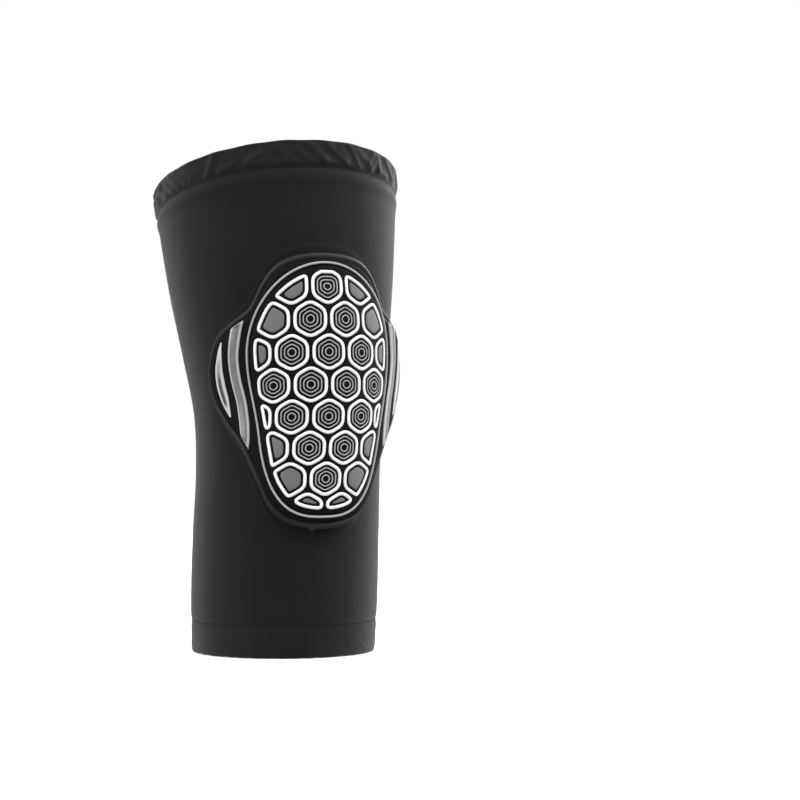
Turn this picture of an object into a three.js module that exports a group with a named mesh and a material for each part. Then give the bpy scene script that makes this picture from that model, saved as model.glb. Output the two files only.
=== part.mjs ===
// Basketball knee pad: a knitted compression sleeve with a moulded pad over the kneecap.
// Millimetres, +Z up. The pad faces -Y and +X is on its right as a viewer in front of it sees it.
// The origin is on the leg's axis, level with the middle of the pad.

import * as THREE from "three";
import { mergeVertices } from "three/addons/utils/BufferGeometryUtils.js";

// Driving dimensions of the sleeve. Heights are measured up from the calf hem.
const SLEEVE_HEIGHT = 285;
const KNEE_HEIGHT = 149;
const SLEEVE_WALL = 1.6;
const BAND_WALL = 2.4;
const CALF_BAND_HEIGHT = 20;
const THIGH_BAND_HEIGHT = 13;
const SEAM_GAP = 0.4;
const SEAM_BEAD = 0.9;
const AROUND = 60;

// The worn form: one row for each section of the leg that fills the sleeve.
// right and back move the section's middle. frontRise and rightRise lift its front and its right side.
const SECTIONS = [
  { height: 0, width: 110, depth: 113, right: 0, back: 6, frontRise: 0, rightRise: 0 },
  { height: 30, width: 113, depth: 116, right: 0, back: 4.5, frontRise: 0, rightRise: 0.5 },
  { height: 70, width: 113, depth: 116, right: 0, back: 2.5, frontRise: 0, rightRise: 1.2 },
  { height: 110, width: 112, depth: 114, right: 0.5, back: 0.5, frontRise: 0, rightRise: 1.9 },
  { height: 145, width: 116, depth: 116, right: 1, back: 0, frontRise: 1, rightRise: 2.5 },
  { height: 180, width: 125, depth: 126, right: -1, back: 0.5, frontRise: 3, rightRise: 3 },
  { height: 220, width: 136, depth: 141, right: -3.5, back: 2.5, frontRise: 6, rightRise: 3.5 },
  { height: 255, width: 143.5, depth: 151, right: -5.5, back: 4.5, frontRise: 9, rightRise: 3.9 },
  { height: 285, width: 149, depth: 157, right: -7, back: 6.5, frontRise: 12, rightRise: 4.2 },
];

// Gathers of the thigh band: waves round the hem, how far each stands out, and its lean in radians a millimetre.
const GATHERS = 15;
const GATHER_DEPTH = 0.5;
const GATHER_SLANT = 0.06;

// Driving dimensions of the pad.
// It is laid out flat on its face: across from its middle line, and up from the origin.
const PAD_FACE = 9.5;
const PAD_GAP = 0.9;
const PAD_AROUND = 72;

// Half of the plate's outline, from the top round the right wing to the bottom.
const PLATE_OUTLINE = [
  { across: 0, up: 76.2 },
  { across: 14, up: 75.4 },
  { across: 25, up: 72.7 },
  { across: 32.8, up: 67.6 },
  { across: 38.9, up: 60 },
  { across: 45.6, up: 49.3 },
  { across: 55, up: 43.6 },
  { across: 65, up: 37.2 },
  { across: 71.8, up: 28 },
  { across: 74.8, up: 14 },
  { across: 72.2, up: 1.5 },
  { across: 64, up: -11.8 },
  { across: 54, up: -23.8 },
  { across: 46.4, up: -36 },
  { across: 39.4, up: -49.2 },
  { across: 33, up: -61.5 },
  { across: 24, up: -70 },
  { across: 12.5, up: -74 },
  { across: 0, up: -75.2 },
];

// The plate's rounded edge, from its side wall to its face: distance in from the rim, and lift off the leg.
const PLATE_EDGE = [
  { inset: 0, lift: 5.6 },
  { inset: 0.7, lift: 7.4 },
  { inset: 1.9, lift: 8.3 },
  { inset: 6, lift: PAD_FACE },
];

// The egg of the cap: half its width and its reach above and below its widest line. Below that line it narrows
// by the taper, over a share of its reach, and the power makes its end blunt.
const EGG = { halfWidth: 45.6, up: 47.2, down: 90.8, widestAt: 23, taper: 0.116, taperOver: 0.5, power: 2.8 };
const EDGING = { width: 1.4, height: 1 };
const DOME_INSET = 1.6;
const DOME_EDGE = 1;
const DOME_HEIGHT = 5;

// Ribs of the right wing, from top to bottom: the middle of the rib and its width.
const RIB_HEIGHT = 1.2;
const WING_BAND = [
  { up: 42, across: 48.8, width: 0.8 },
  { up: 37, across: 52.1, width: 6 },
  { up: 30, across: 53.6, width: 6.8 },
  { up: 21, across: 54.2, width: 6.6 },
  { up: 10, across: 52.6, width: 6.5 },
  { up: -1.5, across: 49.5, width: 6.3 },
  { up: -12.5, across: 47.7, width: 6.3 },
  { up: -20.5, across: 46.9, width: 5.4 },
  { up: -28, across: 45.7, width: 0.8 },
];
const WING_CRESCENT = [
  { up: 31.5, across: 62, width: 0.8 },
  { up: 26, across: 63.2, width: 2.6 },
  { up: 16.5, across: 63.9, width: 5 },
  { up: 8, across: 62.7, width: 5.9 },
  { up: 0, across: 60.2, width: 5.2 },
  { up: -6, across: 58, width: 2.8 },
  { up: -9.8, across: 56.4, width: 0.8 },
];

// Raised honeycomb on the cap: the cells' size across flats, the gap between cells and the raised line.
const CELL = { across: 20, gap: 1.6, line: 1.8, height: 0.9, lift: 0.45, margin: 3.2 };
const CELL_LIMITS = { leastArea: 45, leastSide: 0.6, longestSide: 9 };
const CELL_ROWS = { first: -5, last: 2 };

const COLOURS = {
  knit: { color: 0x1b1b1c, roughness: 0.8 },
  hem: { color: 0x1d1d1e, roughness: 0.85 },
  foam: { color: 0x131314, roughness: 0.6 },
  white: { color: 0xf0f0ee, roughness: 0.5 },
  grey: { color: 0x8c8c8d, roughness: 0.55 },
};

const pair = ({ across, up }) => new THREE.Vector2(across, up);

// A smooth curve through one column of a table of sections.
function columnAt(column, height) {
  const last = SECTIONS.length - 1;
  const slope = (i) => {
    const a = SECTIONS[Math.max(i - 1, 0)];
    const b = SECTIONS[Math.min(i + 1, last)];
    return (b[column] - a[column]) / (b.height - a.height);
  };
  let i = 0;
  while (i < last - 1 && height > SECTIONS[i + 1].height) i += 1;
  const span = SECTIONS[i + 1].height - SECTIONS[i].height;
  const t = (height - SECTIONS[i].height) / span;
  const from = SECTIONS[i][column];
  const to = SECTIONS[i + 1][column];
  const bend = (1 - t) * span * slope(i) - t * span * slope(i + 1);
  const ease = t * t * (3 - 2 * t);
  return from + (to - from) * ease + t * (1 - t) * bend;
}

// The point of the worn form at an angle from the front, towards +X, lifted off its surface.
function legPoint(angle, height, lift) {
  const at = (column) => columnAt(column, height);
  return new THREE.Vector3(
    at("right") + (at("width") / 2 + lift) * Math.sin(angle),
    at("back") - (at("depth") / 2 + lift) * Math.cos(angle),
    height - KNEE_HEIGHT + at("frontRise") * Math.cos(angle) + at("rightRise") * Math.sin(angle),
  );
}

// The point of the pad's flat layout, wrapped round the knee.
function padPoint(across, up, lift) {
  const height = up + KNEE_HEIGHT;
  const radius = (columnAt("width", height) + columnAt("depth", height)) / 4 + PAD_FACE;
  return legPoint(across / radius, height, lift);
}

// Moves every vertex of a geometry, then merges the shared ones so that the solid is closed.
function warped(geometry, move) {
  geometry.deleteAttribute("normal");
  geometry.deleteAttribute("uv");
  const position = geometry.getAttribute("position");
  const vertex = new THREE.Vector3();
  for (let i = 0; i < position.count; i += 1) {
    const { x, y, z } = move(vertex.fromBufferAttribute(position, i));
    position.setXYZ(i, x, y, z);
  }
  const merged = mergeVertices(geometry, 1e-3);
  const corners = merged.index.array;
  const kept = [];
  for (let i = 0; i < corners.length; i += 3) {
    const [a, b, c] = corners.slice(i, i + 3);
    if (a !== b && b !== c && c !== a) kept.push(a, b, c);
  }
  merged.setIndex(kept);
  merged.computeVertexNormals();
  return merged;
}

// A ring round the leg. Each point of its closed profile has a lift off the worn form and a height.
const LATHE_RADIUS = 100;
function legRing(profile, liftAt = (angle, height, lift) => lift) {
  const points = profile.map(({ lift, height }) => new THREE.Vector2(LATHE_RADIUS + lift, height));
  points.push(points[0].clone());
  const lathe = new THREE.LatheGeometry(points, AROUND);
  return warped(lathe, ({ x, y, z }) => {
    const angle = Math.atan2(x, z);
    const lift = Math.hypot(x, z) - LATHE_RADIUS;
    return legPoint(angle, y, liftAt(angle, y, lift));
  });
}

// A disc on the pad. Each row of its profile has a share of the way out to the rim and a lift.
function padDisc(rows, rimAt, middleUp, around) {
  const points = rows.map(({ middle }, i) => new THREE.Vector2(middle ? 0 : 1, -i)).reverse();
  const lathe = new THREE.LatheGeometry(points, around);
  return warped(lathe, ({ x, y, z }) => {
    const angle = Math.atan2(x, z);
    const row = rows[Math.round(-y)];
    const share = row.middle ? 0 : row.share(angle);
    const rim = rimAt(angle);
    const across = rim.x * share;
    const up = middleUp + (rim.y - middleUp) * share;
    return padPoint(across, up, row.lift(across, up));
  });
}

// A flat shape of the pad's layout, given a thickness and wrapped on a surface of the pad.
function padInlay(shape, thickness, liftAt) {
  const flat = new THREE.ExtrudeGeometry(shape, { depth: thickness, bevelEnabled: false });
  return warped(flat, ({ x, y, z }) => padPoint(x, y, liftAt(x, y) + z));
}

// A raised line between two closed outlines whose points pair up, wrapped on a surface of the pad.
function padLine(pairs, thickness, liftAt) {
  const section = [
    { radius: 1, lift: 0 },
    { radius: 1, lift: thickness },
    { radius: 2, lift: thickness },
    { radius: 2, lift: 0 },
    { radius: 1, lift: 0 },
  ];
  const points = section.map(({ radius, lift }) => new THREE.Vector2(radius, lift));
  return warped(new THREE.LatheGeometry(points, pairs.length), ({ x, y, z }) => {
    const turn = Math.atan2(x, z) / (2 * Math.PI);
    const { outer, inner } = pairs[Math.round((1 + turn) * pairs.length) % pairs.length];
    const place = Math.hypot(x, z) > 1.5 ? outer : inner;
    return padPoint(place.x, place.y, liftAt(place.x, place.y) + y);
  });
}

// How much of its width the egg keeps at a share of its reach below the widest line.
function eggTaper(share) {
  const { taper, taperOver } = EGG;
  return 1 - taper * THREE.MathUtils.smoothstep(share, 0, taperOver);
}

// The egg's rim at an angle from its top, moved in by a margin.
function eggRim(angle, margin = 0) {
  const width = (EGG.halfWidth - margin) * Math.sign(angle);
  if (Math.cos(angle) > 0)
    return new THREE.Vector2(
      width * Math.sin(Math.abs(angle)),
      EGG.widestAt + (EGG.up - margin) * Math.cos(angle),
    );
  const drop = Math.abs(Math.cos(angle)) ** (2 / EGG.power);
  const spread = Math.abs(Math.sin(angle)) ** (2 / EGG.power);
  return new THREE.Vector2(width * spread * eggTaper(drop), EGG.widestAt - (EGG.down - margin) * drop);
}

// How high the cap's surface stands over a place of the layout, above the worn form.
function domeLift(across, up) {
  const rise = (up - EGG.widestAt) / (EGG.up - DOME_INSET);
  const drop = (EGG.widestAt - up) / (EGG.down - DOME_INSET);
  const spread = Math.abs(across) / (EGG.halfWidth - DOME_INSET);
  const below = () => ((spread / eggTaper(drop)) ** EGG.power + drop ** EGG.power) ** (1 / EGG.power);
  const share = rise > 0 ? Math.hypot(spread, rise) : below();
  const crown = Math.max(0, 1 - share * share);
  return PAD_FACE + SEAM_GAP + DOME_EDGE + (DOME_HEIGHT - DOME_EDGE) * crown;
}

// Sleeve and hems

function sleeve() {
  const bottom = CALF_BAND_HEIGHT + SEAM_GAP;
  const top = SLEEVE_HEIGHT - THIGH_BAND_HEIGHT - SEAM_GAP;
  const rows = 12;
  const beadFrom = top - 7;
  const rise = (beadFrom - bottom) / rows;
  const outer = Array.from({ length: rows + 1 }, (_, i) => ({ lift: 0, height: bottom + rise * i }));
  const bead = [
    { lift: SEAM_BEAD, height: top - 3.5 },
    { lift: SEAM_BEAD / 2, height: top },
  ];
  const inner = outer
    .filter((_, i) => i % 2 === 0)
    .map(({ height }) => ({ lift: -SLEEVE_WALL, height }))
    .reverse();
  return legRing([...outer, ...bead, { lift: -SLEEVE_WALL, height: top }, ...inner]);
}

function calfBand() {
  return legRing([
    { lift: -BAND_WALL + 0.5, height: 0 },
    { lift: -0.6, height: 0 },
    { lift: 0.2, height: 1.5 },
    { lift: 0.5, height: 6 },
    { lift: 0.5, height: CALF_BAND_HEIGHT - 3 },
    { lift: 0, height: CALF_BAND_HEIGHT },
    { lift: -BAND_WALL + 0.5, height: CALF_BAND_HEIGHT },
  ]);
}

function thighBand() {
  const from = SLEEVE_HEIGHT - THIGH_BAND_HEIGHT;
  const gathered = (angle, height, lift) => {
    const across = Math.sin(((height - from) / THIGH_BAND_HEIGHT) * Math.PI);
    const wave = Math.sin(GATHERS * (angle + GATHER_SLANT * (height - from)));
    return lift > 0 ? lift + GATHER_DEPTH * across * wave : lift;
  };
  const profile = [
    { lift: 0.2, height: from },
    { lift: 0.7, height: from + 4 },
    { lift: 0.9, height: from + 8 },
    { lift: 0.7, height: from + 12 },
    { lift: -0.2, height: SLEEVE_HEIGHT },
    { lift: -BAND_WALL + 0.6, height: SLEEVE_HEIGHT - 0.4 },
    { lift: -BAND_WALL + 0.6, height: from },
  ];
  return legRing(profile, gathered);
}

// Pad plate and cap

// The half outline as a curve. A mirrored point past each end keeps it level across the middle line.
const plateHalf = new THREE.SplineCurve([
  new THREE.Vector2(-PLATE_OUTLINE[1].across, PLATE_OUTLINE[1].up),
  ...PLATE_OUTLINE.map(pair),
  new THREE.Vector2(-PLATE_OUTLINE.at(-2).across, PLATE_OUTLINE.at(-2).up),
]);

// The plate's rim in the direction of an angle from its top, found along the half outline.
function plateRim(angle) {
  const turn = Math.abs(angle);
  const spans = PLATE_OUTLINE.length + 1;
  let low = 1 / spans;
  let high = 1 - 1 / spans;
  for (let step = 0; step < 40; step += 1) {
    const middle = (low + high) / 2;
    const { x, y } = plateHalf.getPoint(middle);
    if (Math.atan2(x, y) < turn) low = middle;
    else high = middle;
  }
  const rim = plateHalf.getPoint(low);
  return new THREE.Vector2(Math.sign(angle) * Math.max(rim.x, 0), rim.y);
}

function padBase() {
  const flat = (lift) => (share) => ({ share: () => share, lift: () => lift });
  const edge = ({ inset, lift }) => ({
    share: (angle) => 1 - inset / plateRim(angle).length(),
    lift: () => lift,
  });
  const middle = (lift) => ({ middle: true, lift: () => lift });
  return padDisc(
    [
      middle(PAD_GAP),
      ...[0.2, 0.4, 0.6, 0.8, 1].map(flat(PAD_GAP)),
      ...PLATE_EDGE.map(edge),
      ...[0.75, 0.56, 0.37, 0.18].map(flat(PAD_FACE)),
      middle(PAD_FACE),
    ],
    plateRim,
    0,
    PAD_AROUND,
  );
}

function padDome() {
  const under = PAD_FACE + SEAM_GAP;
  const row = (lift) => (share) => ({ middle: share === 0, share: () => share, lift });
  const floor = [0, 0.25, 0.5, 0.75, 1].map(row(() => under));
  const crown = [1, 0.96, 0.85, 0.7, 0.5, 0.25, 0].map(row(domeLift));
  return padDisc([...floor, ...crown], (angle) => eggRim(angle, DOME_INSET), EGG.widestAt, 64);
}

function domeEdging() {
  const pairs = Array.from({ length: PAD_AROUND }, (_, i) => {
    const angle = Math.PI * ((2 * i + 1) / PAD_AROUND - 1);
    return { outer: eggRim(angle, -EDGING.width / 2), inner: eggRim(angle, EDGING.width / 2) };
  });
  return padLine(pairs, EDGING.height, () => PAD_FACE + SEAM_GAP);
}

// Ribs of the wings, on the right for side 1 and on the left for side -1

function wingRib(rows, side) {
  const edge = (sign) =>
    rows.map(({ across, up, width }) => new THREE.Vector2(side * (across + (sign * width) / 2), up));
  const steps = (rows.length - 1) * 2;
  const outward = new THREE.SplineCurve(edge(1)).getPoints(steps);
  const inward = new THREE.SplineCurve(edge(-1)).getPoints(steps).reverse();
  return padInlay(new THREE.Shape([...outward, ...inward]), RIB_HEIGHT, () => PAD_FACE + SEAM_GAP);
}

// Honeycomb cells

// The part of a convex polygon on the left of the line from a to b.
function clipped(polygon, a, b) {
  const side = (p) => (b.x - a.x) * (p.y - a.y) - (b.y - a.y) * (p.x - a.x);
  return polygon.flatMap((p, i) => {
    const next = polygon[(i + 1) % polygon.length];
    const from = side(p);
    const to = side(next);
    const kept = from >= 0 ? [p] : [];
    if (from * to < 0) kept.push(p.clone().lerp(next, from / (from - to)));
    return kept;
  });
}

// A convex polygon with each of its sides moved in.
function inset(polygon, margin) {
  return polygon.reduce((left, a, i) => {
    const b = polygon[(i + 1) % polygon.length];
    const along = b.clone().sub(a).normalize();
    const inward = new THREE.Vector2(-along.y, along.x).multiplyScalar(margin);
    return clipped(left, a.clone().add(inward), b.clone().add(inward));
  }, polygon);
}

// The polygon without corners that nearly meet.
function thinned(polygon) {
  const { leastSide } = CELL_LIMITS;
  return polygon.filter((p, i) => p.distanceTo(polygon[(i + 1) % polygon.length]) > leastSide);
}

// The outline that cuts the cells, anticlockwise from the bottom.
const EGG_SIDES = 40;
const eggPolygon = Array.from({ length: EGG_SIDES }, (_, i) =>
  eggRim(Math.PI * (1 - (2 * i + 1) / EGG_SIDES), CELL.margin),
);

// Every cell that is large enough once the egg has cut it, named by its row and place.
function cells() {
  const found = [];
  const corner = CELL.across / Math.sqrt(3);
  for (let row = CELL_ROWS.first; row <= CELL_ROWS.last; row += 1) {
    const up = EGG.widestAt + row * corner * 1.5;
    const odd = Math.abs(row) % 2;
    for (let place = -2; place <= 2 - odd; place += 1) {
      const across = (place + odd / 2) * CELL.across;
      const hexagon = Array.from({ length: 6 }, (_, i) => {
        const turn = (i / 6) * 2 * Math.PI;
        return new THREE.Vector2(across - corner * Math.sin(turn), up + corner * Math.cos(turn));
      });
      const cut = eggPolygon.reduce(
        (left, a, i) => clipped(left, a, eggPolygon[(i + 1) % eggPolygon.length]),
        hexagon,
      );
      const outer = cut.length > 2 ? thinned(inset(cut, CELL.gap / 2)) : [];
      if (outer.length > 2 && Math.abs(THREE.ShapeUtils.area(outer)) > CELL_LIMITS.leastArea)
        found.push({ name: `cell_${row - CELL_ROWS.first + 1}_${place + 3}`, outer });
    }
  }
  return found;
}

// The raised line of a cell. Each outer corner pairs with the nearest inner one, and long sides are split.
function cellOutline(outer) {
  const inside = inset(outer, CELL.line);
  const nearest = (p) => inside.reduce((best, q) => (q.distanceTo(p) < best.distanceTo(p) ? q : best));
  const pairs = outer.flatMap((p, i) => {
    const next = outer[(i + 1) % outer.length];
    const pieces = Math.ceil(p.distanceTo(next) / CELL_LIMITS.longestSide);
    return Array.from({ length: pieces }, (_, k) => ({
      outer: p.clone().lerp(next, k / pieces),
      inner: nearest(p).clone().lerp(nearest(next), k / pieces),
    }));
  });
  return padLine(pairs.reverse(), CELL.height, (across, up) => domeLift(across, up) + CELL.lift);
}

// Assembly

function piece(name, geometry, { color, roughness }) {
  const material = new THREE.MeshStandardMaterial({ color, roughness, metalness: 0 });
  const mesh = new THREE.Mesh(geometry, material);
  mesh.name = name;
  return mesh;
}

const sleeveGroup = new THREE.Group();
sleeveGroup.add(
  piece("sleeve", sleeve(), COLOURS.knit),
  piece("calf_band", calfBand(), COLOURS.hem),
  piece("thigh_band", thighBand(), COLOURS.hem),
);

const wingRibs = [
  { name: "wing_band_left", rows: WING_BAND, side: -1, colour: COLOURS.grey },
  { name: "wing_band_right", rows: WING_BAND, side: 1, colour: COLOURS.grey },
  { name: "wing_crescent_left", rows: WING_CRESCENT, side: -1, colour: COLOURS.white },
  { name: "wing_crescent_right", rows: WING_CRESCENT, side: 1, colour: COLOURS.white },
];
const padGroup = new THREE.Group();
padGroup.add(
  piece("pad_base", padBase(), COLOURS.foam),
  piece("pad_dome", padDome(), COLOURS.foam),
  piece("dome_edging", domeEdging(), COLOURS.white),
  ...wingRibs.map(({ name, rows, side, colour }) => piece(name, wingRib(rows, side), colour)),
  ...cells().map(({ name, outer }) => piece(name, cellOutline(outer), COLOURS.white)),
);

const kneePad = new THREE.Group();
kneePad.add(sleeveGroup, padGroup);

export default kneePad;
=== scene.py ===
import math

import bpy
import numpy as np
from bpy.props import FloatProperty, FloatVectorProperty, IntProperty, PointerProperty
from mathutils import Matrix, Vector


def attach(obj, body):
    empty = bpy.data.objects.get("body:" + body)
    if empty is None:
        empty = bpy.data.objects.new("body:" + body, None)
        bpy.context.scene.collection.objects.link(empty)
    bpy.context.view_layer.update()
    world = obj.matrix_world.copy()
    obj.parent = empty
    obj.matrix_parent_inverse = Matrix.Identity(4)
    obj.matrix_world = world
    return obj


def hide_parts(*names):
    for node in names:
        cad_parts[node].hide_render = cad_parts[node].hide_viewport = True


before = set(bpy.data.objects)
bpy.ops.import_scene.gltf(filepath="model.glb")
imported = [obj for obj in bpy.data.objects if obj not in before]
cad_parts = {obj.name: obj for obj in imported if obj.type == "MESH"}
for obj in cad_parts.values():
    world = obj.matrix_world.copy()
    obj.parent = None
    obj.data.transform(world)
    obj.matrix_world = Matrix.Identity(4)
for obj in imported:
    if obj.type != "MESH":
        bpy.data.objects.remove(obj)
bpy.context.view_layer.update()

bl_info = {
    "name": "Knee pad",
    "version": (1, 0, 0),
    "blender": (4, 5, 0),
    "location": "3D View > Sidebar > Knee pad",
    "description": "Builds a knitted knee sleeve with a moulded pad over the kneecap",
    "category": "Object",
}

TAU = 2 * math.pi
METRE = 1000.0

# Measures of the part's solids, in millimetres. Heights are up from the calf hem.
SLEEVE_HEIGHT = 285.0
KNEE_HEIGHT = 149.0
SLEEVE_WALL = 1.6
BAND_WALL = 1.9
THIGH_BAND_HEIGHT = 13.0
SEAM_GAP = 0.4
PAD_FACE = 9.5
THIGH_HEM_FOOT = SLEEVE_HEIGHT - THIGH_BAND_HEIGHT
SLEEVE_TOP = THIGH_HEM_FOOT - SEAM_GAP

# Sections of the leg that fills the sleeve. right and back move a section's middle,
# front_rise and right_rise lift its front and its right side.
SECTION_COLUMNS = ("height", "width", "depth", "right", "back", "front_rise", "right_rise")
SECTIONS = np.array([
    (0, 110, 113, 0, 6, 0, 0),
    (30, 113, 116, 0, 4.5, 0, 0.5),
    (70, 113, 116, 0, 2.5, 0, 1.2),
    (110, 112, 114, 0.5, 0.5, 0, 1.9),
    (145, 116, 116, 1, 0, 1, 2.5),
    (180, 125, 126, -1, 0.5, 3, 3),
    (220, 136, 141, -3.5, 2.5, 6, 3.5),
    (255, 143.5, 151, -5.5, 4.5, 9, 3.9),
    (285, 149, 157, -7, 6.5, 12, 4.2),
], float)

# Half of the plate's outline on the pad's flat layout (across, up), from its top round to its bottom.
PLATE_OUTLINE = [
    (0, 76.2), (14, 75.4), (25, 72.7), (32.8, 67.6), (38.9, 60), (45.6, 49.3), (55, 43.6),
    (65, 37.2), (71.8, 28), (74.8, 14), (72.2, 1.5), (64, -11.8), (54, -23.8), (46.4, -36),
    (39.4, -49.2), (33, -61.5), (24, -70), (12.5, -74), (0, -75.2),
]
# The plate's edge, from its foot up its side wall and over its rolled rim to its face:
# distance in from the rim, and lift off the leg.
PLATE_EDGE = [
    (1.0, 0.8), (0.25, 1.0), (0, 1.8), (0, 3.5), (0, 5.2), (0.2, 6.4), (0.7, 7.4), (1.4, 8.05),
    (2.2, 8.3), (3.0, 8.15), (3.7, 8.0), (4.4, 8.25), (5.2, 8.9), (6.1, 9.35), (7.2, 9.5),
]
# Shares of the way in to the plate's middle at which its underside and its face have a row of points.
PLATE_ROWS = np.array([0.18, 0.37, 0.56, 0.75, 0.9])
# The rim's polish: between which lifts it comes on, between which insets it ends, its strength on the
# plate's lower half, and how much is added towards its top.
PLATE_POLISH = {"lift": (5.4, 6.6), "inset": (3.8, 2.8), "strength": 0.68, "more_at_top": 0.2}
# A small moulding nub under the plate, left of its middle: its angle from the plate's foot, its reach and
# its half width. It is full from a lift on, ends between two insets, and fills the rim's groove to a level.
PLATE_NUB = {
    "turn": -0.077, "reach": 1.5, "spread": 0.024, "full_at": 4, "inset": (5, 2),
    "level": 8.35, "fill": 0.4,
}

# The knit's bonded welt round the plate: how far it reaches out, how wide its slope is, and over which
# distance beyond it the knit's waves come on. Past an angle from the front the pad is out of reach.
WELT = {"reach": 6.0, "slope": 2.4, "calm": 20.0}
PAD_SIDE = 2.0
# Slight waves of the worn knit: height, waves round the leg, rise in a radian of wave, and phase.
KNIT_WAVES = [(0.16, 2, 38, 0.4), (0.11, 3, -27, 1.9)]
# The ridge under the thigh hem: how far it is below the sleeve's top, and its half width.
THIGH_RIDGE = {"below": 6.4, "half": 3.4}
# How deep the sleeve's top is tucked under the thigh hem, and over which height.
THIGH_TUCK = {"depth": 0.6, "over": 4.2}
# The seam up the back: its rise and the groove along its middle, each with where its slope starts and ends.
BACK_SEAM = {"rise": 0.38, "rise_slope": (3.8, 2.6), "groove": 0.3, "groove_slope": (0.7, 0.15)}
# The seam over the calf hem: its height, the depth of its groove and its half width.
CALF_SEAM = {"height": 19.0, "depth": 0.55, "half": 1.9}
# Rows of thread: how far the thigh row is under its hem and how deep it lies, and for the rows up the back
# how far they are beside the seam, how far they stay from both hems, and how proud of the knit they lie.
SEWING = {
    "under_thigh_hem": 0.6, "deep": 0.5, "beside_seam": 1.7, "above_calf_seam": 2, "below_thigh_hem": 3,
    "proud": 0.05,
}

# The cap's egg: half its width, its reach above and below its widest line, and where that line is. Below it
# the egg narrows by the taper, over a share of its reach, and the power makes its end blunt.
EGG = {
    "half_width": 45.6, "up": 47.2, "down": 90.8, "widest_at": 23.0,
    "taper": 0.116, "taper_over": 0.5, "power": 2.8,
}
# How far the cap stands in from the egg's rim, and the heights of its edge and its crown over the seam.
CAP_INSET = 1.6
CAP_EDGE = 1.0
CAP_HEIGHT = 5.0
# The cap's underside and wall: share of the egg, and lift off the plate's face. Then the rows of its crown.
CAP_WALL = [
    (0.5, -0.15), (0.97, -0.15), (1, -0.15),
    (1, SEAM_GAP), (0.998, SEAM_GAP + 0.55), (0.991, SEAM_GAP + 0.9),
]
CAP_ROWS = (0.98, 0.965, *np.linspace(0.94, 0.03, 46))

# Honeycomb of the cap: cell size across flats, gap between cells, margin inside the egg, the least area of a
# cell and the least side of its outline. Rows of cells are counted from the egg's widest line.
CELL = {"across": 20.0, "gap": 1.6, "margin": 3.2, "least_area": 45.0, "least_side": 0.6}
CELL_ROWS = (-5, 2)
# A cell is whole when the egg leaves at least this share of it.
WHOLE_CELL = 0.97
# How far inside a cell the thin lines of a whole one lie, and the filled core of a cut one. A line or
# a core with less than the least area is left out.
THIN_LINES_AT = (4.3, 6.1, 7.9)
CORE_AT = 4.0
LEAST_INNER_AREA = 3.0
# Rounding of the corners of the bold lines, the thin lines and the cores.
BOLD_CORNER, THIN_CORNER, CORE_CORNER = 3.2, 1.6, 2.2
# A core's crown, from its foot inwards: share of its outline, and height over the cap. Then its middle.
CORE_CROWN = [(0.97, -0.3), (1, 0), (0.985, 0.22), (0.94, 0.36), (0.8, 0.42), (0.5, 0.45)]
CORE_MIDDLE = (-0.3, 0.46)

# Ribs of the right wing, from top to bottom: up, middle of the rib, width.
WING_BAND = [
    (40.2, 51.4, 6.2), (37, 52.3, 6.6), (30, 53.6, 6.8), (21, 54.2, 6.6), (10, 52.6, 6.5),
    (-1.5, 49.5, 6.3), (-12.5, 47.7, 6.3), (-20.5, 47.1, 5.9), (-23.8, 47.1, 5.5),
]
# How far the inner border of a wing band runs on past its middle line, at its top and at its foot.
WING_BAND_SLANT = (3.6, 4.4)
WING_CRESCENT = [
    (31.5, 62, 0.8), (26, 63.2, 2.6), (16.5, 63.9, 5), (8, 62.7, 5.9), (0, 60.2, 5.2), (-6, 58, 2.8),
    (-9.8, 56.4, 0.8),
]
# How proud of the plate's face a rib's middle line lies.
RIB_SEAT = 0.05

# Soft creases behind the knee: height, depth, half width, and how far their ends bend up.
KNEE_CREASES = [(116, 0.5, 5.0, 7), (133, 0.8, 5.5, 3), (149, 0.7, 5.0, -3), (166, 0.4, 6.0, -7)]
# Distances from the back seam: where a crease has bent by its whole amount, and over which it fades.
CREASE_BENT_AT = 45.0
CREASE_FADE = 38.0

# The thigh hem: how far its foot laps the sleeve, the height and the depth of its rolled rim, how deep its
# foot is sunk, how far it steps out over its groove and by which height, how far it draws in again and from
# which height, and how far its rim may rise and its lining stay below it.
THIGH_HEM = {
    "lap": 0.9, "rim": 1.5, "roll": 1.0, "sunk": 0.35, "step": 0.75, "step_by": 1.3,
    "draw": 0.3, "draw_from": 4, "rim_play": 0.4,
}
# The calf hem: how far it laps the sleeve over its seam, its rounded rim, how deep it is sunk, how full it
# is under the seam and over which height, how far its lap is tucked in and from where, and how high the
# waves of its rim reach.
CALF_HEM = {
    "lap": 0.9, "rim": 1.3, "sunk": 0.03, "full": 0.1, "full_over": 4,
    "tuck": 0.3, "tuck_from": 0.05, "wavy_to": 4,
}
# Where the folds of a hem come on, measured from its foot. On the thigh they lose a share of their height
# on the way to the rim, and on the calf they end between two heights.
THIGH_FOLD_FADE = {"foot": (-0.6, 1.4), "below_rim": 2.2, "lost": 0.8}
CALF_FOLD_FADE = {"foot": (0.5, 2.5), "head": (13, 9)}
# Waves along the rim of each hem: height, and the count and phase of the waves that are multiplied for it.
THIGH_WAVES = [(0.14, ((7, 0.6), (4, 0.0))), (0.12, ((23, 1.1),))]
CALF_WAVES = [(0.22, ((19, 0.7), (5, 0.4))), (0.16, ((43, 0.0),))]
# How far random folds stray from even places, as a share of their spacing, and the ranges of their sizes:
# lean and half width as shares of the usual ones, foot and head as shares of the hem's height, and height.
FOLD_STRAY = 0.25
FOLD_RANGES = {
    "lean": (0.5, 1.5), "foot": (0, 0.25), "head": (0, 0.35), "half": (0.75, 1.3), "tall": (0.3, 1.0),
}
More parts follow.
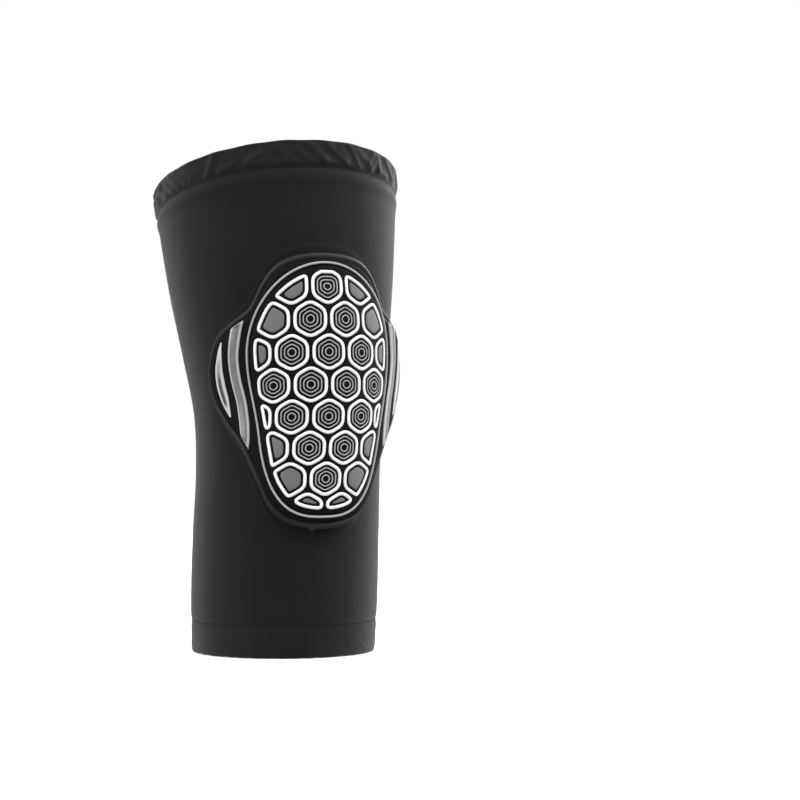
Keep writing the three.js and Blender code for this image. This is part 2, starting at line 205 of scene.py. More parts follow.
# Folds that sway lean to one side and then to the other: how often round the leg, and where that starts.
FOLD_SWAY = {"turns": 2.5, "start": 0.9}

# Folds of the thigh hem on the front: degrees from the front and height of a fold's head, the same of its
# foot, its half width, and how high it stands as a share of the gathers' depth.
FRONT_GATHERS = [
    (-87, 280, -80, 273, 2.6, 0.8), (-80.5, 281, -73.5, 272.7, 2.6, 0.8),
    (-75.6, 282.5, -69, 273.5, 2.6, 0.75), (-71.2, 283, -64.5, 275, 2.5, 0.7),
    (-66.6, 283.3, -60.5, 275.4, 2.5, 0.6), (-62.5, 283.3, -57.5, 276, 2.5, 0.5),
    (-46.7, 284, -50.6, 272.6, 2.5, 0.9), (-38, 275.5, -43.5, 273.8, 2.5, 0.9),
    (-36, 283, -41, 279, 2.2, 0.4), (-34.1, 280, -31.7, 275, 2.5, 0.4),
    (-25.5, 279, -31.5, 275.1, 2.1, 1.0), (-24.2, 274.6, -28.7, 272.9, 2.1, 0.8),
    (-19.5, 282.5, -15.7, 278.8, 2.5, 0.5), (-14.6, 276.2, -9.4, 272.4, 2.5, 0.6),
    (-18.2, 273.4, -14.7, 273, 2.1, 0.5), (-8.8, 279, -1.7, 272.2, 2.5, 0.7),
    (-3.7, 283, 3.5, 274.3, 2.6, 0.8), (3.5, 274.3, 9.5, 272.5, 2.2, 0.7),
    (6.1, 282, 13.7, 274.2, 2.6, 0.85), (13.7, 274.2, 18, 272.4, 2.2, 0.7),
    (11.7, 281.5, 15.4, 277.1, 2.2, 0.6), (16.6, 283.5, 21.8, 273, 2.6, 0.85),
    (21.2, 282, 27.7, 276, 2.5, 0.6), (32.1, 283, 28.4, 277, 2.1, 0.9), (35.3, 282, 29.5, 273, 2.1, 0.95),
    (36.2, 279, 35.6, 274.5, 2.2, 0.8), (36.2, 274.4, 43.2, 273, 2.2, 1.0),
    (43, 283, 49.7, 275.5, 2.6, 1.0), (56, 283, 52, 274, 2.5, 0.8), (59, 283, 65, 275, 2.6, 0.9),
]
# Degrees on the left and on the right of these folds that random folds keep clear of.
FRONT_CLEAR = (6, 4)

# The camera: turn round the knee, distance and eye height in metres, then how far the view is panned and
# tilted, and its lens and sensor.
CAMERA = {
    "azimuth": -18.0, "distance": 0.9, "eye": 0.085, "pan": 4.378, "tilt": 4.289,
    "lens": 66.0, "sensor": 36.0,
}

# Studio lights: wide fills far off, each with the way that it shines from and its strength, near soft
# boxes, each with its place and its power in watts, and an even white room.
FILLS = {
    "left_fill": ((-1.0, -0.25, 0.35), 1.87), "right_fill": ((1.0, -0.25, 0.35), 1.87),
    "back_fill": ((0.0, 1.0, 0.45), 0.4),
}
FILL_SPREAD = 50.0
SOFT_BOXES = {
    "key": ((0.35, -0.55, 0.65), 3.3), "left_key": ((-0.3, -0.5, 0.6), 1.2),
    "right_rim": ((0.5, 0.25, 0.35), 3.2),
}
SOFT_BOX_SIZE = 0.4
ROOM_STRENGTH = 0.6
# The studio, in metres: its floor, which lies just under the part, and its wall, from its foot to its top
# (distance from the middle, level). Both have the same number of sides.
STUDIO_SIDES = 96
FLOOR = {"reach": 6.0, "gap": 0.0003, "glow": 0.6}
BACKDROP = [(7.0, -0.4), (7.0, 3.0), (5.0, 5.5), (2.0, 7.0)]
BACKDROP_TOP = 7.2


# Form of the leg and layout of the pad

def column_at(name, height):
    """One column of the table of sections, on a smooth curve through its rows."""
    heights, column = SECTIONS[:, 0], SECTIONS[:, SECTION_COLUMNS.index(name)]
    before = np.maximum(np.arange(len(heights)) - 1, 0)
    after = np.minimum(np.arange(len(heights)) + 1, len(heights) - 1)
    slope = (column[after] - column[before]) / (heights[after] - heights[before])
    i = np.searchsorted(heights[1:-1], height, side="left")
    span = heights[i + 1] - heights[i]
    t = (height - heights[i]) / span
    bend = (1 - t) * span * slope[i] - t * span * slope[i + 1]
    return column[i] + (column[i + 1] - column[i]) * t * t * (3 - 2 * t) + t * (1 - t) * bend


def leg_point(angle, height, lift):
    """The point of the leg at an angle from its front, towards +X, lifted off its surface. In metres."""
    angle, height, lift = np.broadcast_arrays(angle, height, lift)
    at = {name: column_at(name, height) for name in SECTION_COLUMNS[1:]}
    return np.stack([
        at["right"] + (at["width"] / 2 + lift) * np.sin(angle),
        at["back"] - (at["depth"] / 2 + lift) * np.cos(angle),
        height - KNEE_HEIGHT + at["front_rise"] * np.cos(angle) + at["right_rise"] * np.sin(angle),
    ], axis=-1) / METRE


def pad_radius(height):
    """The radius on which the pad's flat layout is wrapped."""
    return (column_at("width", height) + column_at("depth", height)) / 4 + PAD_FACE


def pad_point(across, up, lift):
    """The point of the pad's flat layout, wrapped round the knee. In metres."""
    across, up, lift = np.broadcast_arrays(across, up, lift)
    height = up + KNEE_HEIGHT
    return leg_point(across / pad_radius(height), height, lift)


def normals(place, first, second, step):
    """Unit normals of the surface place(first, second)."""
    along = place(first + step[0], second) - place(first - step[0], second)
    rise = place(first, second + step[1]) - place(first, second - step[1])
    across = np.cross(along, rise)
    return across / np.linalg.norm(across, axis=-1, keepdims=True)


def pad_normals(across, up, lift_at):
    return normals(lambda a, u: pad_point(a, u, lift_at(a, u)), across, up, (0.2, 0.2))


def leg_normals(angle, height):
    return normals(lambda a, h: leg_point(a, h, 0), angle, height, (0.004, 0.2))


def smooth_through(points, steps):
    """A smooth curve through a row of points. The first and the last only guide its ends."""
    points = np.asarray(points, float)
    a, b, c, d = points[:-3], points[1:-2], points[2:-1], points[3:]
    t = np.arange(steps)[:, None, None] / steps
    bend, twist = 2 * a - 5 * b + 4 * c - d, 3 * b - a - 3 * c + d
    curve = (2 * b + (c - a) * t + bend * t**2 + twist * t**3) / 2
    return np.vstack([curve.swapaxes(0, 1).reshape(-1, points.shape[1]), points[-2:-1]])


def eased(low, high, value):
    """Rises smoothly from 0 at low to 1 at high, or falls where high is the lower."""
    t = np.clip((value - low) / (high - low), 0, 1)
    return t * t * (3 - 2 * t)


def full_turn(count):
    """Angles evenly round from the back, or from the bottom of a flat form."""
    return np.linspace(-math.pi, math.pi, count, endpoint=False)


def bell(value, half):
    """1 at a value of 0, falling to nearly nothing at twice the half width."""
    return np.exp(-((value / half) ** 2))


def plate_reach(turn):
    """How far the plate's rim is from its middle, at an angle from its top."""
    before, after = (np.multiply(PLATE_OUTLINE[i], (-1, 1)) for i in (1, -2))
    across, up = smooth_through([before, *PLATE_OUTLINE, after], 60).T
    return np.interp(np.abs(turn), np.arctan2(np.abs(across), up), np.hypot(across, up))


def egg_taper(share):
    return 1 - EGG["taper"] * eased(0, EGG["taper_over"], share)


def egg_rim(turn, margin=0.0):
    """The egg's rim at an angle from its top, moved in by a margin, as across and up."""
    half_width = EGG["half_width"] - margin
    drop, spread = (np.abs(side(turn)) ** (2 / EGG["power"]) for side in (np.cos, np.sin))
    above = np.cos(turn) > 0
    across = np.where(above, np.abs(np.sin(turn)), spread * egg_taper(drop))
    reach = np.where(above, (EGG["up"] - margin) * np.cos(turn), -(EGG["down"] - margin) * drop)
    return half_width * np.sign(turn) * across, EGG["widest_at"] + reach


def cap_lift(across, up):
    """How high the cap's surface stands off the leg."""
    rise = (up - EGG["widest_at"]) / (EGG["up"] - CAP_INSET)
    drop = np.maximum(EGG["widest_at"] - up, 0) / (EGG["down"] - CAP_INSET)
    spread = np.abs(across) / (EGG["half_width"] - CAP_INSET)
    power = EGG["power"]
    below = ((spread / egg_taper(drop)) ** power + drop**power) ** (1 / power)
    share = np.where(rise > 0, np.hypot(spread, rise), below)
    crown = np.maximum(0, 1 - share * share)
    return PAD_FACE + SEAM_GAP + CAP_EDGE + (CAP_HEIGHT - CAP_EDGE) * crown


def calf_groove(height):
    """How deep the knit is drawn in at the seam over the calf hem."""
    return CALF_SEAM["depth"] * bell(height - CALF_SEAM["height"], CALF_SEAM["half"])


def sleeve_lift(angle, height, sizes):
    """How far the knit stands off the leg, with its welt, ridge, back seam and creases."""
    across, up = angle * pad_radius(height), height - KNEE_HEIGHT
    outside = np.hypot(across, up) - plate_reach(np.arctan2(across, up))
    near_pad = np.abs(angle) < PAD_SIDE
    welt = eased(WELT["reach"], WELT["reach"] - WELT["slope"], outside) * near_pad
    calm = 1 - eased(WELT["reach"] + WELT["calm"], WELT["reach"], outside) * near_pad
    waves = sum(
        tall * np.sin(count * angle + height / pitch + phase) for tall, count, pitch, phase in KNIT_WAVES
    )
    ridge = bell(height - SLEEVE_TOP + THIGH_RIDGE["below"], THIGH_RIDGE["half"])
    tucked = THIGH_TUCK["depth"] * eased(SLEEVE_TOP - THIGH_TUCK["over"], SLEEVE_TOP, height)
    back = np.abs(np.abs(angle) - math.pi) * column_at("width", height) / 2
    seam = BACK_SEAM["rise"] * eased(*BACK_SEAM["rise_slope"], back)
    seam -= BACK_SEAM["groove"] * eased(*BACK_SEAM["groove_slope"], back)
    creases = bell(back, CREASE_FADE) * sum(
        depth * bell(height - at - bend * (back / CREASE_BENT_AT) ** 2, half)
        for at, depth, half, bend in KNEE_CREASES
    )
    raised = waves * calm + METRE * (sizes.welt * welt + sizes.ridge * ridge)
    return raised - tucked - calf_groove(height) + seam - creases


# Meshes

def plain_piece(name, points, faces=(), edges=()):
    """A new object at the origin, shaded smooth."""
    mesh = bpy.data.meshes.new(name)
    mesh.from_pydata(np.asarray(points).tolist(), np.asarray(edges).tolist(), [list(f) for f in faces])
    mesh.shade_smooth()
    piece = bpy.data.objects.new(name, mesh)
    bpy.context.scene.collection.objects.link(piece)
    return piece


def ring_piece(name, points, turn, rise, material):
    """A closed ring from a grid of points: rows run round its wall and columns round the leg.
    Its map runs once round the leg in u, and in metres along the wall in v."""
    rows, columns = points.shape[:2]
    row, column = np.arange(rows)[:, None], np.arange(columns)[None]
    here, above = row * columns, (row + 1) % rows * columns
    beside = (column + 1) % columns
    faces = np.stack([here + column, here + beside, above + beside, above + column], -1).reshape(-1, 4)
    piece = plain_piece(name, points.reshape(-1, 3), faces.tolist())
    u, v = np.append(turn, turn[0] + TAU) / TAU, np.append(rise, rise[-1]) / METRE
    across = np.broadcast_to(np.stack([u[:-1], u[1:], u[1:], u[:-1]], -1)[None], (rows, columns, 4))
    along = np.broadcast_to(np.stack([v[:-1], v[:-1], v[1:], v[1:]], -1)[:, None], (rows, columns, 4))
    layer = piece.data.uv_layers.new(name="knit")
    layer.data.foreach_set("uv", np.stack([across, along], -1).ravel())
    piece.data.materials.append(material)
    return piece


def disc_faces(rows, columns, start=0):
    """Faces of a closed disc whose points are a pole, rows of columns, and a second pole."""
    def at(row, column):
        return start + 1 + row * columns + column % columns
    last = start + 1 + rows * columns
    faces = [(start, at(0, c), at(0, c + 1)) for c in range(columns)]
    faces += [
        (at(r, c), at(r + 1, c), at(r + 1, c + 1), at(r, c + 1))
        for r in range(rows - 1) for c in range(columns)
    ]
    return faces + [(at(rows - 1, c), last, at(rows - 1, c + 1)) for c in range(columns)]


def disc_piece(name, discs, material):
    """One piece of closed discs. Each disc is a pole, a grid of points and a second pole."""
    points, faces = [], []
    for bottom, grid, top in discs:
        faces += disc_faces(*grid.shape[:2], start=len(points))
        points += [bottom, *grid.reshape(-1, 3), top]
    piece = plain_piece(name, points, faces)
    piece.data.materials.append(material)
    return piece


def mark(piece, label, values):
    """Gives each point of a piece a value, or a vector, that its material or its recipe reads."""
    values = np.asarray(values, float)
    kind, key = ("FLOAT_VECTOR", "vector") if values.ndim == 2 else ("FLOAT", "value")
    piece.data.attributes.new(label, kind, "POINT").data.foreach_set(key, values.ravel())


def path_piece(name, paths):
    """Paths for a recipe to follow: rows of points, each with the surface's normal, width, share of the
    way and slant, which is how far a line's side is moved along it there."""
    points, edges, columns = [], [], {"surface": [], "swell": [], "along": [], "slant": []}
    for path in paths:
        first, count = len(points), len(path["points"])
        links = count if path["closed"] else count - 1
        edges += [(first + i, first + (i + 1) % count) for i in range(links)]
        points += list(path["points"])
        columns["surface"] += list(path["surface"])
        columns["swell"] += list(path.get("swell", np.ones(count)))
        columns["along"] += list(np.linspace(0, 1, count))
        columns["slant"] += list(path.get("slant", np.zeros((count, 3))))
    piece = plain_piece(name, points, edges=edges)
    for label, values in columns.items():
        mark(piece, label, values)
    return piece


def settle(piece, slot, *nodes):
    """Puts a finished piece on the part's body, in place of the solids that it stands for."""
    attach(piece, "root")
    if nodes:
        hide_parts(*nodes)


# Node trees

class Wire:
    """A socket of a node tree, with arithmetic that adds Math nodes."""

    def __init__(self, graph, socket):
        self.graph, self.socket = graph, socket

    def __add__(self, other):
        return self.graph.math("ADD", self, other)

    def __sub__(self, other):
        return self.graph.math("SUBTRACT", self, other)

    def __rsub__(self, other):
        return self.graph.math("SUBTRACT", other, self)

    def __mul__(self, other):
        return self.graph.math("MULTIPLY", self, other)

    def __truediv__(self, other):
        return self.graph.math("DIVIDE", self, other)

    def __abs__(self):
        return self.graph.math("ABSOLUTE", self)

    __radd__ = __add__

    def cosine(self):
        return self.graph.math("COSINE", self)

    def fraction(self):
        return self.graph.math("FRACT", self)

    def eased(self, low, high):
        """Rises smoothly from 0 at low to 1 at high, or falls where high is the lower."""
        if low > high:
            return 1 - self.eased(high, low)
        sockets = {"Value": self, "From Min": low, "From Max": high}
        return self.graph.node("ShaderNodeMapRange", {"interpolation_type": "SMOOTHSTEP"}, sockets)


class Graph:
    """A node tree, and the one way to add a node to it."""

    def __init__(self, tree):
        self.tree = tree

    def node(self, kind, settings=None, sockets=None, output=0):
        """Adds a node, makes its settings, then gives its sockets their values or links."""
        node = self.tree.nodes.new(kind)
        for name, value in (settings or {}).items():
            setattr(node, name, value)
        for name, value in (sockets or {}).items():
            if isinstance(value, Wire):
                self.tree.links.new(value.socket, node.inputs[name])
            else:
                node.inputs[name].default_value = value
        return Wire(self, node.outputs[output]) if node.outputs else None

    def math(self, operation, *values):
        return self.node("ShaderNodeMath", {"operation": operation}, dict(enumerate(values)))


class Finish(Graph):
    """A material."""

    def __init__(self, name):
        self.material = bpy.data.materials.new(name)
        self.material.use_nodes = True
        super().__init__(self.material.node_tree)
        self.tree.nodes.clear()

    def place(self):
        return self.node("ShaderNodeTexCoord", output="Object")

    def knit_map(self):
        """The piece's own map: turns round the leg, and metres up it."""
        place = self.node("ShaderNodeUVMap", {"uv_map": "knit"})
        return [self.node("ShaderNodeSeparateXYZ", {}, {0: place}, output=axis) for axis in ("X", "Y")]

    def attribute(self, name):
        return self.node("ShaderNodeAttribute", {"attribute_name": name}, output="Fac")

    def noise(self, scale, detail=2.0):
        sockets = {"Vector": self.place(), "Scale": scale, "Detail": detail}
        return self.node("ShaderNodeTexNoise", {}, sockets)

    def grains(self, scale):
        sockets = {"Vector": self.place(), "Scale": scale}
        return self.node("ShaderNodeTexVoronoi", {"feature": "SMOOTH_F1"}, sockets)

    def mix(self, first, second, share):
        sockets = {0: share, 6: first, 7: second}
        return self.node("ShaderNodeMix", {"data_type": "RGBA"}, sockets, output=2)

    def tones(self, colour, dark, light, share):
        """Two shades of a colour, mixed."""
        return self.mix(shade(colour, dark), shade(colour, light), share)

    def bump(self, height, strength, distance):
        sockets = {"Height": height, "Strength": strength, "Distance": distance}
        return self.node("ShaderNodeBump", {}, sockets)

    def surface(self, sockets):
        """Closes the material with its shader."""
        shader = self.node("ShaderNodeBsdfPrincipled", {}, sockets)
        self.node("ShaderNodeOutputMaterial", {}, {"Surface": shader})
        return self.material


class Recipe(Graph):
    """A geometry tree with named inputs, run once on a piece to leave it a plain mesh."""

    def __init__(self, name, inputs):
        super().__init__(bpy.data.node_groups.new(name, "GeometryNodeTree"))
        new_socket = self.tree.interface.new_socket
        for direction in ("INPUT", "OUTPUT"):
            new_socket("Geometry", in_out=direction, socket_type="NodeSocketGeometry")
        self.keys = {
            label: new_socket(label, in_out="INPUT", socket_type=kind).identifier
            for label, kind in inputs.items()
        }

    def given(self, label):
        return self.node("NodeGroupInput", output=label)

    def on_path(self, label, kind):
        return self.node("GeometryNodeInputNamedAttribute", {"data_type": kind}, {"Name": label})

    def curve(self):
        """The paths of the piece as curves, spaced evenly."""
        curve = self.node("GeometryNodeMeshToCurve", {}, {"Mesh": self.given("Geometry")})
        sockets = {"Curve": curve, "Length": self.given("Spacing")}
        return self.node("GeometryNodeResampleCurve", {"mode": "LENGTH"}, sockets)

    def close(self, geometry):
        """Ends the tree: real geometry, smooth, in one material."""
        real = self.node("GeometryNodeRealizeInstances", {}, {"Geometry": geometry})
        smooth = self.node("GeometryNodeSetShadeSmooth", {}, {"Geometry": real})
        sockets = {"Geometry": smooth, "Material": self.given("Material")}
        coated = self.node("GeometryNodeSetMaterial", {}, sockets)
        self.node("NodeGroupOutput", {}, {"Geometry": coated})
        return self

    def run(self, piece, values):
        modifier = piece.modifiers.new("Recipe", "NODES")
        modifier.node_group = self.tree
        for label, value in values.items():
            modifier[self.keys[label]] = value
        graph = bpy.context.evaluated_depsgraph_get()
        made = bpy.data.meshes.new_from_object(piece.evaluated_get(graph), depsgraph=graph)
        piece.modifiers.remove(modifier)
        paths, piece.data = piece.data, made
        bpy.data.meshes.remove(paths)
        made.name = piece.name
        return piece


def raised_line_recipe():
    """A rounded line along each path, seated on the surface that the path lies on."""
    recipe = Recipe("Raised line", {
        "Spacing": "NodeSocketFloat", "Width": "NodeSocketFloat", "Height": "NodeSocketFloat",
        "Corners": "NodeSocketInt", "Material": "NodeSocketMaterial",
    })
    upright = {"Curve": recipe.curve(), "Normal": recipe.on_path("surface", "FLOAT_VECTOR")}
    path = recipe.node("GeometryNodeSetCurveNormal", {"mode": "FREE"}, upright)
    round_section = {"Resolution": recipe.given("Corners"), "Radius": 1.0}
    circle = recipe.node("GeometryNodeCurvePrimitiveCircle", {}, round_section)
    place = recipe.node("GeometryNodeInputPosition")
    across = recipe.node("ShaderNodeSeparateXYZ", {}, {0: place}, output="Y")
    marked = {"Geometry": circle, "Name": "side", "Value": across}
    on_points = {"data_type": "FLOAT", "domain": "POINT"}
    circle = recipe.node("GeometryNodeStoreNamedAttribute", on_points, marked)
    scale = {"X": recipe.given("Height"), "Y": recipe.given("Width") / 2, "Z": 1.0}
    flattened = {"Geometry": circle, "Scale": recipe.node("ShaderNodeCombineXYZ", {}, scale)}
    section = recipe.node("GeometryNodeTransform", {}, flattened)
    swell = recipe.on_path("swell", "FLOAT")
    swept = {"Curve": path, "Profile Curve": section, "Scale": swell, "Fill Caps": True}
    line = recipe.node("GeometryNodeCurveToMesh", {}, swept)
    slant = {0: recipe.on_path("slant", "FLOAT_VECTOR"), "Scale": recipe.on_path("side", "FLOAT")}
    offset = recipe.node("ShaderNodeVectorMath", {"operation": "SCALE"}, slant)
    return recipe.close(recipe.node("GeometryNodeSetPosition", {}, {"Geometry": line, "Offset": offset}))


def stitch_recipe():
    """Stitches of thread along each path."""
    recipe = Recipe("Stitches", {
        "Spacing": "NodeSocketFloat", "Length": "NodeSocketFloat", "Thread": "NodeSocketFloat",
        "Material": "NodeSocketMaterial",
    })
    lying = {
        "Primary Axis": recipe.node("GeometryNodeInputTangent"),
        "Secondary Axis": recipe.on_path("surface", "FLOAT_VECTOR"),
    }
    axes = {"primary_axis": "X", "secondary_axis": "Z"}
    turned = recipe.node("FunctionNodeAxesToRotation", axes, lying)
    thread = recipe.given("Thread")
    long_and_thin = {"X": recipe.given("Length"), "Y": thread, "Z": thread}
    scale = recipe.node("ShaderNodeCombineXYZ", {}, long_and_thin)
    stitch = recipe.node("GeometryNodeMeshUVSphere", {}, {"Segments": 6, "Rings": 5, "Radius": 0.5})
    sewn = {"Points": recipe.curve(), "Instance": stitch, "Rotation": turned, "Scale": scale}
    return recipe.close(recipe.node("GeometryNodeInstanceOnPoints", {}, sewn))


# Finishes

def shade(colour, share):
    """A colour made lighter or darker, with an alpha of 1."""
    return tuple(min(1.0, part * share) for part in colour) + (1.0,)


def knit_finish(name, colour, wales, courses):
    """Matt stretch knit: rows of small leaning loops, slight painted sheen in random patches and a soft
    bloom at its edges.
    """
    finish = Finish(name)
    round_leg, up_leg = finish.knit_map()
    wale, course = round_leg * wales, up_leg * courses
    lean = abs(wale.fraction() * 2 - 1)
    loops = ((course + lean * 0.45) * TAU).cosine() * 0.5 - (wale * TAU).cosine() * 0.35
    # Painted sheen: random patches that make the knit's colour lighter or darker, and rougher where it is
    # lighter.
    sheen_patches = finish.noise(38, 3).eased(0.3, 0.72)
    fibres = finish.noise(2600, 1)
    tone = sheen_patches * 0.6 + fibres * 0.25 + loops * 0.15
    return finish.surface({
        "Base Color": finish.tones(colour, 0.72, 1.3, tone),
        "Roughness": 0.78 + sheen_patches * 0.12,
        "Normal": finish.bump(loops + fibres * 0.5, 0.55, 0.00012),
        "Specular IOR Level": 0.1,
        "Sheen Weight": 0.4,
        "Sheen Roughness": 0.4,
        "Sheen Tint": (0.9, 0.92, 0.95, 1.0),
    })


def thread_finish(name, colour):
    """Twisted polyester thread."""
    finish = Finish(name)
    strands = finish.noise(3200, 2)
    return finish.surface({
        "Base Color": finish.tones(colour, 0.8, 1.5, strands),
        "Roughness": 0.5 + strands * 0.2,
        "Normal": finish.bump(strands, 0.4, 0.0001),
        "Specular IOR Level": 0.12,
    })


def foam_finish(name, colour, polished=None):
    """Moulded foam with a fine pebbled skin. A mark, where one is named, tells where it is polished."""
    finish = Finish(name)
    pebbles, cloud = finish.grains(1500), finish.noise(45, 3)
    polish = {}
    if polished:
        polish = {"Coat Weight": finish.attribute(polished) * 0.75, "Coat Roughness": 0.52}
    return finish.surface({
        **polish,
        "Base Color": finish.tones(colour, 0.75, 1.35, cloud * 0.7 + pebbles * 0.3),
        "Roughness": 0.46 + cloud * 0.16,
        "Normal": finish.bump(pebbles + finish.noise(5200, 1) * 0.4, 0.28, 0.0002),
        "Specular IOR Level": 0.07,
    })


def print_finish(name, colour):
    """Soft rubber print, slightly uneven."""
    finish = Finish(name)
    cloud, pores = finish.noise(120, 3), finish.noise(3600, 1)
    return finish.surface({
        "Base Color": finish.tones(colour, 0.93, 1.03, cloud * 0.7 + pores * 0.3),
        "Roughness": 0.42 + cloud * 0.16,
        "Normal": finish.bump(pores, 0.2, 0.00008),
        "Specular IOR Level": 0.4,
    })


def wing_band_finish(name, middle, border):
    """Rubber print with a lighter line round its edge, and painted shade as a dark dot near each end, where
    the fill meets the border.
    """
    finish = Finish(name)
    aside, along = abs(finish.attribute("side")), finish.attribute("along")
    inside = aside.eased(0.68, 0.54) * along.eased(0.012, 0.022) * along.eased(0.988, 0.978)
    from_end = 0.5 - abs(along - 0.5)
    # Painted shade: a dark dot near each end, where the fill meets the border, with less coat there too.
    painted_shade_dots = aside.eased(0.42, 0.22) * from_end.eased(0.03, 0.042) * from_end.eased(0.092, 0.078)
    streaks = finish.noise(480, 2)
    fill = finish.tones(middle, 0.8, 1.25, streaks.eased(0.3, 0.7))
    fill = finish.mix(fill, shade(middle, 0.12), painted_shade_dots)
    return finish.surface({
        "Base Color": finish.mix(shade(border, 1.15), fill, inside),
        "Roughness": 0.45 + streaks * 0.12,
        "Normal": finish.bump(streaks, 0.15, 0.0001),
        "Specular IOR Level": 0.7,
        "Coat Weight": 1 - painted_shade_dots,
        "Coat Roughness": 0.2,
        "Sheen Weight": 0.6,
        "Sheen Roughness": 0.3,
    })


def wing_crescent_finish(name, pale, slit):
    """White rubber print, with a dark slit along the middle of its lower half."""
    finish = Finish(name)
    aside, along = abs(finish.attribute("side") + 0.05), finish.attribute("along")
    fill = aside.eased(0.6, 0.42) * along.eased(0.16, 0.3) * along.eased(0.84, 0.72)
    hollow = aside.eased(0.4, 0.24) * along.eased(0.32, 0.46) * along.eased(0.78, 0.68)
    cloud = finish.noise(200, 2)
    edge = finish.tones(pale, 0.6, 0.68, cloud)
    filled = finish.mix(edge, shade(pale, 0.3), fill)
    return finish.surface({
        "Base Color": finish.mix(filled, shade(slit, 1.2), hollow),
        "Roughness": 0.42 + cloud * 0.14,
        "Normal": finish.bump(finish.noise(3600, 1), 0.2, 0.00008),
        "Specular IOR Level": 0.4,
        "Coat Weight": 0.8,
        "Coat Roughness": 0.3,
    })


def floor_finish(name, colour):
    """Pale matt studio floor, lit from below a little, as a light table is."""
    finish = Finish(name)
    cloud = finish.noise(6, 3)
    return finish.surface({
        "Base Color": finish.tones(colour, 0.985, 1, cloud),
        "Roughness": 0.85 + cloud * 0.05,
        "Specular IOR Level": 0.1,
        "Emission Color": (1, 1, 1, 1),
        "Emission Strength": FLOOR["glow"],
    })


def backdrop_finish(name):
    """Plain white wall that glows evenly."""
    finish = Finish(name)
    return finish.surface({
        "Base Color": (0, 0, 0, 1),
        "Specular IOR Level": 0.0,
        "Emission Color": (1, 1, 1, 1),
        "Emission Strength": 1.0,
    })


# Sizes and colours that a user may change

def length_setting(label, description, default):
    return FloatProperty(
        name=label, description=description, default=default, min=0.0, unit="LENGTH", subtype="DISTANCE"
    )


def count_setting(label, description, default, least=1):
    return IntProperty(name=label, description=description, default=default, min=least)


def colour_setting(label, description, default):
    return FloatVectorProperty(
        name=label, description=description, default=default, min=0.0, max=1.0, size=3, subtype="COLOR"
    )


class KneePadSleeve(bpy.types.PropertyGroup):
    """Sizes of the sleeve, its hems and its stitching."""

    welt: length_setting("Welt", "Height of the bonded welt round the plate", 0.0006)
    ridge: length_setting("Ridge", "Height of the rolled ridge under the thigh hem", 0.0007)
    gather_depth: length_setting("Gather depth", "Height of the largest folds in the thigh hem", 0.0011)
    gathers: count_setting("Gathers", "Folds round the thigh hem", 64)
    pucker_depth: length_setting("Pucker depth", "Height of the largest folds in the calf hem", 0.00012)
    puckers: count_setting("Puckers", "Slight folds round the calf hem", 150)
    seed: count_setting("Seed", "Seed of the folds' places", 11, least=0)
    wales: count_setting("Wales", "Columns of knitted loops round the leg", 720)
    courses: count_setting("Courses", "Rows of knitted loops in a metre", 1800)
    stitch: length_setting("Stitch", "Length of a stitch", 0.0024)
    stitch_spacing: length_setting("Stitch spacing", "Distance from stitch to stitch", 0.0031)
    thread: length_setting("Thread", "Thickness of the thread", 0.0005)


class KneePadPrint(bpy.types.PropertyGroup):
    """Sizes of the raised print."""

    line: length_setting("Line", "Width of the bold lines", 0.0019)
    thin_line: length_setting("Thin line", "Width of the thin lines", 0.0008)
    edging: length_setting("Edging", "Width of the line round the cap", 0.0014)
    relief: length_setting("Relief", "Height of the bold lines", 0.0006)
    thin_relief: length_setting("Thin relief", "Height of the thin lines", 0.00042)
    edging_relief: length_setting("Edging relief", "Height of the line round the cap", 0.0009)
    rib: length_setting("Rib", "Height of the wing ribs where they are widest", 0.0011)


class KneePadColours(bpy.types.PropertyGroup):
    """Colours of the materials."""

    knit: colour_setting("Knit", "Colour of the sleeve", (0.0085, 0.0085, 0.0087))
    hem: colour_setting("Hem", "Colour of the hems", (0.0098, 0.0098, 0.01))
    thread: colour_setting("Thread", "Colour of the stitches", (0.008, 0.008, 0.0081))
    foam: colour_setting("Foam", "Colour of the plate and the cap", (0.004, 0.004, 0.0041))
    white: colour_setting("White", "Colour of the bold lines", (0.87, 0.87, 0.86))
    grey: colour_setting("Grey", "Colour of the thin lines and the bands' borders", (0.36, 0.36, 0.36))
    edging: colour_setting("Edging", "Colour of the line round the cap", (0.38, 0.38, 0.38))
    core: colour_setting("Core", "Colour of the filled cells", (0.14, 0.14, 0.142))
    band: colour_setting("Band", "Colour of the wing bands", (0.1, 0.1, 0.102))
    floor: colour_setting("Floor", "Colour of the studio floor", (0.98, 0.98, 0.98))


# Operators

